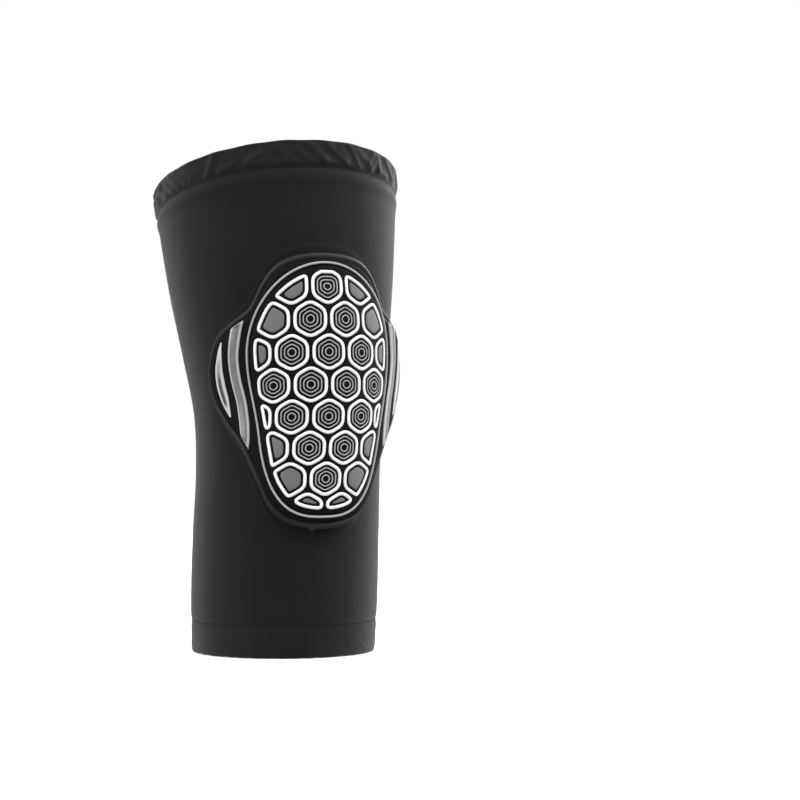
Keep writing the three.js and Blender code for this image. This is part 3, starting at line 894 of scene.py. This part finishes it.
class KNEEPAD_OT_sleeve(bpy.types.Operator):
    """Build the knitted sleeve"""

    bl_idname = "kneepad.sleeve"
    bl_label = "Sleeve"

    def turns(self):
        """Angles of the columns: close on the front and at the back seam, wider apart at the sides."""
        front_half, front_step, seam_half = 1.6, 0.0145, 0.1
        front = np.arange(-front_half, front_half, front_step)
        side = np.linspace(front_half, math.pi - seam_half, 40, endpoint=False)
        seam = np.linspace(math.pi - seam_half, math.pi + seam_half, 19)
        return np.concatenate([front, side, seam, TAU - side[:0:-1]])

    def heights(self):
        """Heights of the rows: close round the pad and at both ends."""
        bottom, top = CALF_SEAM["height"], SLEEVE_TOP
        seam_end, pad_low, pad_high, ridge_start = bottom + 4, 64, 232, top - 12
        wide, close = 2.2, 1.05
        return np.concatenate([
            np.linspace(bottom, seam_end, 11)[:-1], np.arange(seam_end, pad_low, wide),
            np.arange(pad_low, pad_high, close), np.arange(pad_high, ridge_start, wide),
            np.linspace(ridge_start, top, 30),
        ])

    def execute(self, context):
        sizes, colours = context.scene.knee_sleeve, context.scene.knee_colours
        turn, height = self.turns(), self.heights()
        angle = (turn[None] + math.pi) % TAU - math.pi
        outer = leg_point(angle, height[:, None], sleeve_lift(angle, height[:, None], sizes))
        down = np.linspace(height[-1], height[0], 40)
        inner = leg_point(angle, down[:, None], -SLEEVE_WALL)
        finish = knit_finish("black knit", colours.knit, sizes.wales, sizes.courses)
        rise = np.concatenate([height, down])
        piece = ring_piece("knitted_sleeve", np.concatenate([outer, inner]), turn, rise, finish)
        settle(piece, "knit", "sleeve")
        return {"FINISHED"}


class KNEEPAD_OT_hems(bpy.types.Operator):
    """Build the gathered thigh hem and the plain calf hem"""

    bl_idname = "kneepad.hems"
    bl_label = "Hems"

    def folds(self, angle, height, radius, rows):
        """Rounded folds on a hem, one for each row: its head, its foot, its half width and its height."""
        relief = np.zeros(angle.shape)
        for head, top, foot, bottom, half, tall in rows:
            across = ((angle - math.radians(foot) + math.pi) % TAU - math.pi) * radius
            up, lean, rise = height - bottom, math.radians(head - foot) * radius, top - bottom
            share = np.clip((across * lean + up * rise) / (lean**2 + rise**2), 0, 1)
            off = np.hypot(across - share * lean, up - share * rise)
            relief += tall * bell(off, half)
        return relief

    def random_folds(self, random, count, low, high, lean, half, sways):
        """Rows for folds at random places round a hem. All lean one way, or they sway to both sides."""
        rows = []
        for place in np.linspace(-180, 180, count, endpoint=False):
            foot = place + random.normal(0, FOLD_STRAY * 360 / count)
            share = {name: random.uniform(*limits) for name, limits in FOLD_RANGES.items()}
            side = math.sin(math.radians(FOLD_SWAY["turns"] * place) + FOLD_SWAY["start"]) if sways else -1
            head = foot + math.copysign(lean, side) * share["lean"]
            bottom, top = low + share["foot"] * (high - low), high - share["head"] * (high - low)
            rows.append((head, top, foot, bottom, half * share["half"], share["tall"]))
        return rows

    def rim_waves(self, angle, table):
        """How far the rim of a hem rises and falls."""
        return sum(
            tall * np.prod([np.sin(count * angle + phase) for count, phase in waves], axis=0)
            for tall, waves in table
        )

    def hem_piece(self, name, outer, inner, turn, rise, finish):
        return ring_piece(name, np.concatenate([outer, inner]), turn, np.concatenate(rise), finish)

    def thigh_hem(self, sizes, finish):
        random = np.random.default_rng(sizes.seed)
        turn = full_turn(900)
        low, high = THIGH_HEM_FOOT, SLEEVE_HEIGHT
        foot, shoulder = low - THIGH_HEM["lap"], high - THIGH_HEM["rim"]
        height = np.concatenate([np.linspace(foot, shoulder, 29)[:-1], np.linspace(shoulder, high, 8)])
        angle, level = np.meshgrid(turn, height)
        upper = eased(low + THIGH_HEM["draw_from"], high, level)
        edge = np.clip((level - shoulder) / THIGH_HEM["rim"], 0, 1)
        nearly_upright = 0.98
        body = THIGH_HEM["step"] * eased(foot, low + THIGH_HEM["step_by"], level) - THIGH_HEM["sunk"]
        body -= THIGH_HEM["draw"] * upper
        body -= THIGH_HEM["roll"] * (1 - np.sqrt(1 - edge**2 * nearly_upright))

        rows = self.random_folds(random, sizes.gathers, low + 1, high - 1, lean=6, half=2.6, sways=True)
        first, last = FRONT_GATHERS[0][2] - FRONT_CLEAR[0], FRONT_GATHERS[-1][0] + FRONT_CLEAR[1]
        rows = FRONT_GATHERS + [row for row in rows if not first < row[2] < last]
        relief = self.folds(angle, level, column_at("width", low) / 2, rows)
        window = eased(*(low + at for at in THIGH_FOLD_FADE["foot"]), level)
        window *= 1 - THIGH_FOLD_FADE["lost"] * eased(high - THIGH_FOLD_FADE["below_rim"], high, level)
        gathered = METRE * sizes.gather_depth * window * (relief - relief.mean())

        raised = level + self.rim_waves(angle, THIGH_WAVES) * upper
        outer = leg_point(angle, np.minimum(raised, high + THIGH_HEM["rim_play"]), body + gathered)
        close_row, clearance = 0.3, 0.1
        down = np.append(np.linspace(high - THIGH_HEM["rim_play"], foot + close_row, 7), foot)
        inner = leg_point(turn[None], down[:, None], clearance - BAND_WALL)
        piece = self.hem_piece("thigh_hem", outer, inner, turn, (height, down), finish)
        settle(piece, "hem", "thigh_band")

    def calf_hem(self, sizes, finish):
        random = np.random.default_rng(sizes.seed + 1)
        turn = full_turn(760)
        rim, seam = CALF_HEM["rim"], CALF_SEAM["height"]
        high = seam + CALF_HEM["lap"]
        edge = np.linspace(0, math.pi / 2, 7)
        height = np.concatenate([rim * (1 - np.cos(edge)), np.linspace(rim, high, 40)[1:]])
        angle, level = np.meshgrid(turn, height)
        rolled = rim * (1 - np.sqrt(1 - np.clip(1 - level / rim, 0, 1) ** 2))
        body = CALF_HEM["full"] * eased(seam, seam - CALF_HEM["full_over"], level) - CALF_HEM["sunk"]
        body -= rolled + calf_groove(level)
        body -= CALF_HEM["tuck"] * eased(seam + CALF_HEM["tuck_from"], high, level)

        rows = self.random_folds(random, sizes.puckers, 1.5, 10, lean=9, half=0.8, sways=False)
        relief = self.folds(angle, level, column_at("width", 0) / 2, rows)
        window = eased(*CALF_FOLD_FADE["foot"], level) * eased(*CALF_FOLD_FADE["head"], level)
        puckered = METRE * sizes.pucker_depth * window * relief

        lifted = np.maximum(self.rim_waves(angle, CALF_WAVES), 0) * eased(CALF_HEM["wavy_to"], 0, level)
        outer = leg_point(angle, level + lifted, body + puckered)
        down = np.linspace(high, 0, 10)
        inner = leg_point(turn[None], down[:, None], -BAND_WALL)
        piece = self.hem_piece("calf_hem", outer, inner, turn, (height, down), finish)
        settle(piece, "hem", "calf_band")

    def execute(self, context):
        sizes, colours = context.scene.knee_sleeve, context.scene.knee_colours
        finish = knit_finish("black hem knit", colours.hem, sizes.wales, sizes.courses)
        self.thigh_hem(sizes, finish)
        self.calf_hem(sizes, finish)
        return {"FINISHED"}


class KNEEPAD_OT_stitching(bpy.types.Operator):
    """Sew the hems and the back seam"""

    bl_idname = "kneepad.stitching"
    bl_label = "Stitching"

    def row(self, turn, height, lift, closed):
        return {
            "points": leg_point(turn, height, lift), "surface": leg_normals(turn, height), "closed": closed,
        }

    def round_leg(self, height, depth):
        turn = full_turn(300)
        return self.row(turn, np.full(len(turn), height), -depth, True)

    def up_back(self, aside, sizes):
        low = CALF_SEAM["height"] + SEWING["above_calf_seam"]
        height = np.linspace(low, THIGH_HEM_FOOT - SEWING["below_thigh_hem"], 240)
        turn = math.copysign(math.pi, aside) - aside / (column_at("width", height) / 2)
        return self.row(turn, height, sleeve_lift(turn, height, sizes) + SEWING["proud"], False)

    def execute(self, context):
        sizes, colours = context.scene.knee_sleeve, context.scene.knee_colours
        paths = [
            self.round_leg(CALF_SEAM["height"], CALF_SEAM["depth"]),
            self.round_leg(THIGH_HEM_FOOT - SEWING["under_thigh_hem"], SEWING["deep"]),
            self.up_back(-SEWING["beside_seam"], sizes),
            self.up_back(SEWING["beside_seam"], sizes),
        ]
        piece = stitch_recipe().run(path_piece("stitches", paths), {
            "Spacing": sizes.stitch_spacing, "Length": sizes.stitch, "Thread": sizes.thread,
            "Material": thread_finish("black thread", colours.thread),
        })
        settle(piece, "hem")
        return {"FINISHED"}


class KNEEPAD_OT_plate(bpy.types.Operator):
    """Build the moulded plate with its wings"""

    bl_idname = "kneepad.plate"
    bl_label = "Plate"

    def execute(self, context):
        nub_at = -math.pi - PLATE_NUB["turn"]
        turn = full_turn(420)
        turn = np.sort(np.append(turn, nub_at + 2 * PLATE_NUB["spread"] * np.linspace(-1, 1, 25)))
        nub = np.exp(-(((turn - nub_at) / PLATE_NUB["spread"]) ** 4))
        reach = plate_reach(turn)
        edge = smooth_through([PLATE_EDGE[0], *PLATE_EDGE, PLATE_EDGE[-1]], 3)
        (foot_in, foot_lift), (face_in, face_lift) = edge[0], edge[-1]
        rows = [(reach - (reach - foot_in) * share, foot_lift) for share in PLATE_ROWS]
        for inset, lift in edge:
            over_rim = eased(*PLATE_NUB["inset"], inset) * eased(foot_lift, PLATE_NUB["full_at"], lift)
            behind_rim = inset > PLATE_NUB["inset"][1]
            filled = np.clip(PLATE_NUB["level"] - lift, 0, PLATE_NUB["fill"]) * behind_rim
            rows.append((inset - PLATE_NUB["reach"] * nub * over_rim, lift + filled * nub))
        rows += [(reach - (reach - face_in) * share, face_lift) for share in PLATE_ROWS[::-1]]
        inset, lift = (np.stack([np.broadcast_to(row[i], turn.shape) for row in rows]) for i in (0, 1))
        grid = pad_point((reach - inset) * np.sin(turn), (reach - inset) * np.cos(turn), lift)
        poles = pad_point(0.0, 0.0, foot_lift), pad_point(0.0, 0.0, face_lift)
        finish = foam_finish("black plate foam", context.scene.knee_colours.foam, "rim")
        piece = disc_piece("pad_plate", [(poles[0], grid, poles[1])], finish)
        polish = PLATE_POLISH["strength"] + PLATE_POLISH["more_at_top"] * np.maximum(np.cos(turn), 0)
        rim = eased(*PLATE_POLISH["lift"], lift) * eased(*PLATE_POLISH["inset"], inset) * polish
        mark(piece, "rim", [0, *rim.ravel(), 0])
        settle(piece, "foam", "pad_base")
        return {"FINISHED"}


class KNEEPAD_OT_cap(bpy.types.Operator):
    """Build the domed cap over the kneecap"""

    bl_idname = "kneepad.cap"
    bl_label = "Cap"

    def execute(self, context):
        turn = full_turn(260)
        middle = EGG["widest_at"]
        across, up = egg_rim(turn, CAP_INSET)
        grid = []
        for share, lift in CAP_WALL + [(share, None) for share in CAP_ROWS]:
            x, y = across * share, middle + (up - middle) * share
            grid.append(pad_point(x, y, cap_lift(x, y) if lift is None else PAD_FACE + lift))
        lifts = PAD_FACE + CAP_WALL[0][1], cap_lift(0.0, middle)
        poles = [pad_point(0.0, middle, lift) for lift in lifts]
        finish = foam_finish("black cap foam", context.scene.knee_colours.foam)
        piece = disc_piece("pad_cap", [(poles[0], np.stack(grid), poles[1])], finish)
        settle(piece, "foam", "pad_dome")
        return {"FINISHED"}


class KNEEPAD_OT_honeycomb(bpy.types.Operator):
    """Lay the raised honeycomb and the edging on the cap"""

    bl_idname = "kneepad.honeycomb"
    bl_label = "Honeycomb"

    def clipped(self, polygon, a, b):
        """The part of a convex polygon on the left of the line from a to b."""
        side = (b[0] - a[0]) * (polygon[:, 1] - a[1]) - (b[1] - a[1]) * (polygon[:, 0] - a[0])
        kept = []
        for p, after, here, there in zip(polygon, np.roll(polygon, -1, 0), side, np.roll(side, -1)):
            if here >= 0:
                kept.append(p)
            if here * there < 0:
                kept.append(p + (after - p) * here / (here - there))
        return np.array(kept).reshape(-1, 2)

    def moved_in(self, polygon, margin):
        """A convex polygon with each of its sides moved in."""
        left = polygon
        for a, b in zip(polygon, np.roll(polygon, -1, 0)):
            along = (b - a) / np.hypot(*(b - a))
            inward = np.array((-along[1], along[0])) * margin
            left = self.clipped(left, a + inward, b + inward)
        return left

    def thinned(self, polygon):
        """The polygon without corners that nearly meet."""
        gap = np.linalg.norm(np.roll(polygon, -1, 0) - polygon, axis=1)
        return polygon[gap > CELL["least_side"]]

    def area(self, polygon):
        after = np.roll(polygon, -1, 0)
        return abs((polygon[:, 0] * after[:, 1] - polygon[:, 1] * after[:, 0]).sum()) / 2

    def cells(self):
        """The cells of the egg, each as a polygon and whether the egg has cut it."""
        sides = 40
        turn = math.pi * (1 - (2 * np.arange(sides) + 1) / sides)
        egg = np.stack(egg_rim(turn, CELL["margin"]), -1)
        corner, spin = CELL["across"] / math.sqrt(3), np.arange(6) / 6 * TAU
        found = []
        for row in range(CELL_ROWS[0], CELL_ROWS[1] + 1):
            odd = abs(row) % 2
            for place in range(-2, 3 - odd):
                across, up = (place + odd / 2) * CELL["across"], EGG["widest_at"] + row * corner * 1.5
                hexagon = np.array((across, up)) + corner * np.stack([-np.sin(spin), np.cos(spin)], -1)
                cut = hexagon
                for a, b in zip(egg, np.roll(egg, -1, 0)):
                    cut = self.clipped(cut, a, b)
                outer = self.thinned(self.moved_in(cut, CELL["gap"] / 2)) if len(cut) > 2 else cut
                if len(outer) > 2 and self.area(outer) > CELL["least_area"]:
                    found.append((outer, self.area(cut) < WHOLE_CELL * self.area(hexagon)))
        return found

    def rounded(self, polygon, corner, spacing=0.6):
        """The polygon with its corners rounded, and points evenly along it."""
        most = 0.45
        sides = (np.roll(polygon, way, 0) - polygon for way in (1, -1))
        back, ahead = (
            side * np.minimum(corner / np.linalg.norm(side, axis=1), most)[:, None] for side in sides
        )
        t = np.linspace(0, 1, 6)[None, :, None]
        curve = polygon[:, None] + back[:, None] * (1 - t) ** 2 + ahead[:, None] * t**2
        polygon = curve.reshape(-1, 2)
        closed = np.vstack([polygon, polygon[:1]])
        way = np.append(0, np.cumsum(np.linalg.norm(np.diff(closed, axis=0), axis=1)))
        at = np.linspace(0, way[-1], max(8, int(way[-1] / spacing)), endpoint=False)
        return np.stack([np.interp(at, way, closed[:, axis]) for axis in (0, 1)], -1)

    def path(self, outline, lift_at):
        across, up = outline.T
        return {
            "points": pad_point(across, up, lift_at(across, up)), "closed": True,
            "surface": pad_normals(across, up, lift_at),
        }

    def core(self, polygon):
        """A filled cell: a low crowned plate."""
        outline = self.rounded(polygon, CORE_CORNER, spacing=0.9)
        middle = outline.mean(axis=0)
        grid = []
        for share, rise in CORE_CROWN:
            across, up = (middle + (outline - middle) * share).T
            grid.append(pad_point(across, up, cap_lift(across, up) + rise))
        foot, crest = (pad_point(*middle, cap_lift(*middle) + rise) for rise in CORE_MIDDLE)
        return foot, np.stack(grid), crest

    def edging(self, recipe, sizes, colours):
        """The pale line round the cap, in the seam between cap and plate."""
        turn = full_turn(360)
        path = self.path(np.stack(egg_rim(turn), -1), lambda across, up: PAD_FACE + SEAM_GAP + across * 0)
        piece = recipe.run(path_piece("cap_edging", [path]), {
            "Spacing": 0.0008, "Width": sizes.edging, "Height": sizes.edging_relief, "Corners": 8,
            "Material": print_finish("grey edging", colours.edging),
        })
        settle(piece, "line", "dome_edging")

    def execute(self, context):
        sizes, colours = context.scene.knee_print, context.scene.knee_colours
        recipe = raised_line_recipe()
        bold, thin, cores = [], [], []
        for outer, cut in self.cells():
            middle_line = self.moved_in(outer, METRE * sizes.line / 2)
            bold.append(self.path(self.rounded(middle_line, BOLD_CORNER), cap_lift))
            for at in [CORE_AT] if cut else THIN_LINES_AT:
                inner = self.moved_in(outer, at - CELL["gap"] / 2)
                if len(inner) < 3 or self.area(inner) < LEAST_INNER_AREA:
                    continue
                inner = self.thinned(inner)
                if cut:
                    cores.append(self.core(inner))
                else:
                    thin.append(self.path(self.rounded(inner, THIN_CORNER), cap_lift))
        white, grey = print_finish("white print", colours.white), print_finish("grey print", colours.grey)
        piece = recipe.run(path_piece("honeycomb_lines", bold), {
            "Spacing": 0.0007, "Width": sizes.line, "Height": sizes.relief, "Corners": 10,
            "Material": white,
        })
        settle(piece, "print", *[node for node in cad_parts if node.startswith("cell_")])
        piece = recipe.run(path_piece("honeycomb_thin_lines", thin), {
            "Spacing": 0.0007, "Width": sizes.thin_line, "Height": sizes.thin_relief, "Corners": 6,
            "Material": grey,
        })
        settle(piece, "print")
        dark = print_finish("dark grey print", colours.core)
        settle(disc_piece("honeycomb_cores", cores, dark), "print")
        self.edging(recipe, sizes, colours)
        return {"FINISHED"}


class KNEEPAD_OT_wings(bpy.types.Operator):
    """Lay the ribs on both wings of the plate"""

    bl_idname = "kneepad.wings"
    bl_label = "Wings"

    def rib(self, table, side, slant):
        """The path of a rib on one wing, and its greatest width."""
        def face(across, up):
            return PAD_FACE + RIB_SEAT + across * 0
        up, across, width = smooth_through([table[0], *table, table[-1]], 14).T
        points = pad_point(side * across, up, face(across, up))
        ahead = np.gradient(points, axis=0)
        ahead /= np.linalg.norm(ahead, axis=1, keepdims=True)
        run_on = np.linspace(-slant[0], slant[1], len(up))[:, None] / METRE
        return {
            "points": points, "closed": False, "surface": pad_normals(side * across, up, face),
            "swell": width / width.max(), "slant": side * run_on * ahead,
        }, width.max() / METRE

    def execute(self, context):
        sizes, colours = context.scene.knee_print, context.scene.knee_colours
        recipe = raised_line_recipe()
        grey = wing_band_finish("grey wing print", colours.band, colours.grey)
        white = wing_crescent_finish("white wing print", colours.white, colours.foam)
        ribs = {
            "band": (WING_BAND, WING_BAND_SLANT, grey, "band"),
            "crescent": (WING_CRESCENT, (0, 0), white, "print"),
        }
        for label, (table, slant, finish, slot) in ribs.items():
            for side, word in ((-1, "left"), (1, "right")):
                path, width = self.rib(table, side, slant)
                piece = recipe.run(path_piece(f"{label}_rib_{word}", [path]), {
                    "Spacing": 0.0008, "Width": width, "Height": sizes.rib, "Corners": 40,
                    "Material": finish,
                })
                settle(piece, slot, f"wing_{label}_{word}")
        return {"FINISHED"}


class KNEEPAD_OT_stage(bpy.types.Operator):
    """Set up the floor, the lights and the camera"""

    bl_idname = "kneepad.stage"
    bl_label = "Stage"

    def ring(self, reach, level):
        turn = np.linspace(0, TAU, STUDIO_SIDES, endpoint=False)
        return np.stack([reach * np.cos(turn), reach * np.sin(turn), np.full(STUDIO_SIDES, level)], -1)

    def floor(self, scene):
        """The floor just under the part. It sends no light back to it and casts no shadow."""
        rim = self.ring(FLOOR["reach"], -KNEE_HEIGHT / METRE - FLOOR["gap"])
        floor = plain_piece("studio_floor", rim, [range(STUDIO_SIDES)])
        floor.data.materials.append(floor_finish("pale floor", scene.knee_colours.floor))
        floor.visible_diffuse = floor.visible_glossy = floor.visible_shadow = False

    def backdrop(self):
        """A white wall round the studio. Only the camera sees it, so it adds no light."""
        points = np.vstack([*(self.ring(*row) for row in BACKDROP), (0, 0, BACKDROP_TOP)])
        last, top = STUDIO_SIDES * (len(BACKDROP) - 1), len(points) - 1
        faces = []
        for here in range(STUDIO_SIDES):
            beside = (here + 1) % STUDIO_SIDES
            for row in range(0, last, STUDIO_SIDES):
                above = row + STUDIO_SIDES
                faces.append((row + here, above + here, above + beside, row + beside))
            faces.append((last + here, top, last + beside))
        wall = plain_piece("studio_backdrop", points, faces)
        wall.data.materials.append(backdrop_finish("white backdrop"))
        wall.visible_diffuse = wall.visible_glossy = wall.visible_transmission = False
        wall.visible_shadow = wall.visible_volume_scatter = False

    def light(self, scene, lamp, place):
        holder = bpy.data.objects.new(lamp.name, lamp)
        holder.location = place
        holder.rotation_mode = "QUATERNION"
        holder.rotation_quaternion = (-Vector(place)).to_track_quat("-Z", "Y")
        holder.visible_camera = False
        scene.collection.objects.link(holder)

    def lights(self, scene):
        for name, (place, strength) in FILLS.items():
            fill = bpy.data.lights.new(name, "SUN")
            fill.energy, fill.angle = strength, math.radians(FILL_SPREAD)
            self.light(scene, fill, place)
        for name, (place, power) in SOFT_BOXES.items():
            box = bpy.data.lights.new(name, "AREA")
            box.energy, box.size = power, SOFT_BOX_SIZE
            self.light(scene, box, place)

    def camera(self, scene):
        turn, pan, tilt = (math.radians(CAMERA[key]) for key in ("azimuth", "pan", "tilt"))
        lens = bpy.data.cameras.new("camera")
        lens.lens, lens.sensor_width = CAMERA["lens"], CAMERA["sensor"]
        camera = bpy.data.objects.new("camera", lens)
        reach, eye = CAMERA["distance"], CAMERA["eye"] - KNEE_HEIGHT / METRE
        camera.location = (math.sin(turn) * reach, -math.cos(turn) * reach, eye)
        facing, level = turn - pan, math.cos(tilt)
        look = Vector((-math.sin(facing) * level, math.cos(facing) * level, math.sin(tilt)))
        camera.rotation_mode = "QUATERNION"
        camera.rotation_quaternion = look.to_track_quat("-Z", "Y")
        scene.collection.objects.link(camera)
        scene.camera = camera

    def execute(self, context):
        scene = context.scene
        self.floor(scene)
        self.backdrop()
        self.lights(scene)
        world = bpy.data.worlds.new("white studio")
        world.use_nodes = True
        world.node_tree.nodes["Background"].inputs["Color"].default_value = (1, 1, 1, 1)
        world.node_tree.nodes["Background"].inputs["Strength"].default_value = ROOM_STRENGTH
        scene.world = world
        scene.view_settings.view_transform = "Standard"
        self.camera(scene)
        return {"FINISHED"}


OPERATORS = (
    KNEEPAD_OT_stage, KNEEPAD_OT_sleeve, KNEEPAD_OT_hems, KNEEPAD_OT_stitching, KNEEPAD_OT_plate,
    KNEEPAD_OT_cap, KNEEPAD_OT_honeycomb, KNEEPAD_OT_wings,
)
SETTINGS = {"knee_sleeve": KneePadSleeve, "knee_print": KneePadPrint, "knee_colours": KneePadColours}


class KNEEPAD_PT_panel(bpy.types.Panel):
    """Lists the pieces of the knee pad and their settings"""

    bl_idname = "KNEEPAD_PT_panel"
    bl_label = "Knee pad"
    bl_space_type = "VIEW_3D"
    bl_region_type = "UI"
    bl_category = "Knee pad"

    def draw(self, context):
        for operator in OPERATORS:
            self.layout.operator(operator.bl_idname)
        for name, group in SETTINGS.items():
            box = self.layout.box()
            for label in group.__annotations__:
                box.prop(getattr(context.scene, name), label)


CLASSES = (*SETTINGS.values(), *OPERATORS, KNEEPAD_PT_panel)


def register():
    for cls in CLASSES:
        bpy.utils.register_class(cls)
    for name, group in SETTINGS.items():
        setattr(bpy.types.Scene, name, PointerProperty(type=group))


def unregister():
    for name in SETTINGS:
        delattr(bpy.types.Scene, name)
    for cls in reversed(CLASSES):
        bpy.utils.unregister_class(cls)


def main():
    register()
    for operator in OPERATORS:
        group, name = operator.bl_idname.split(".")
        getattr(getattr(bpy.ops, group), name)()


if __name__ == "__main__":
    main()
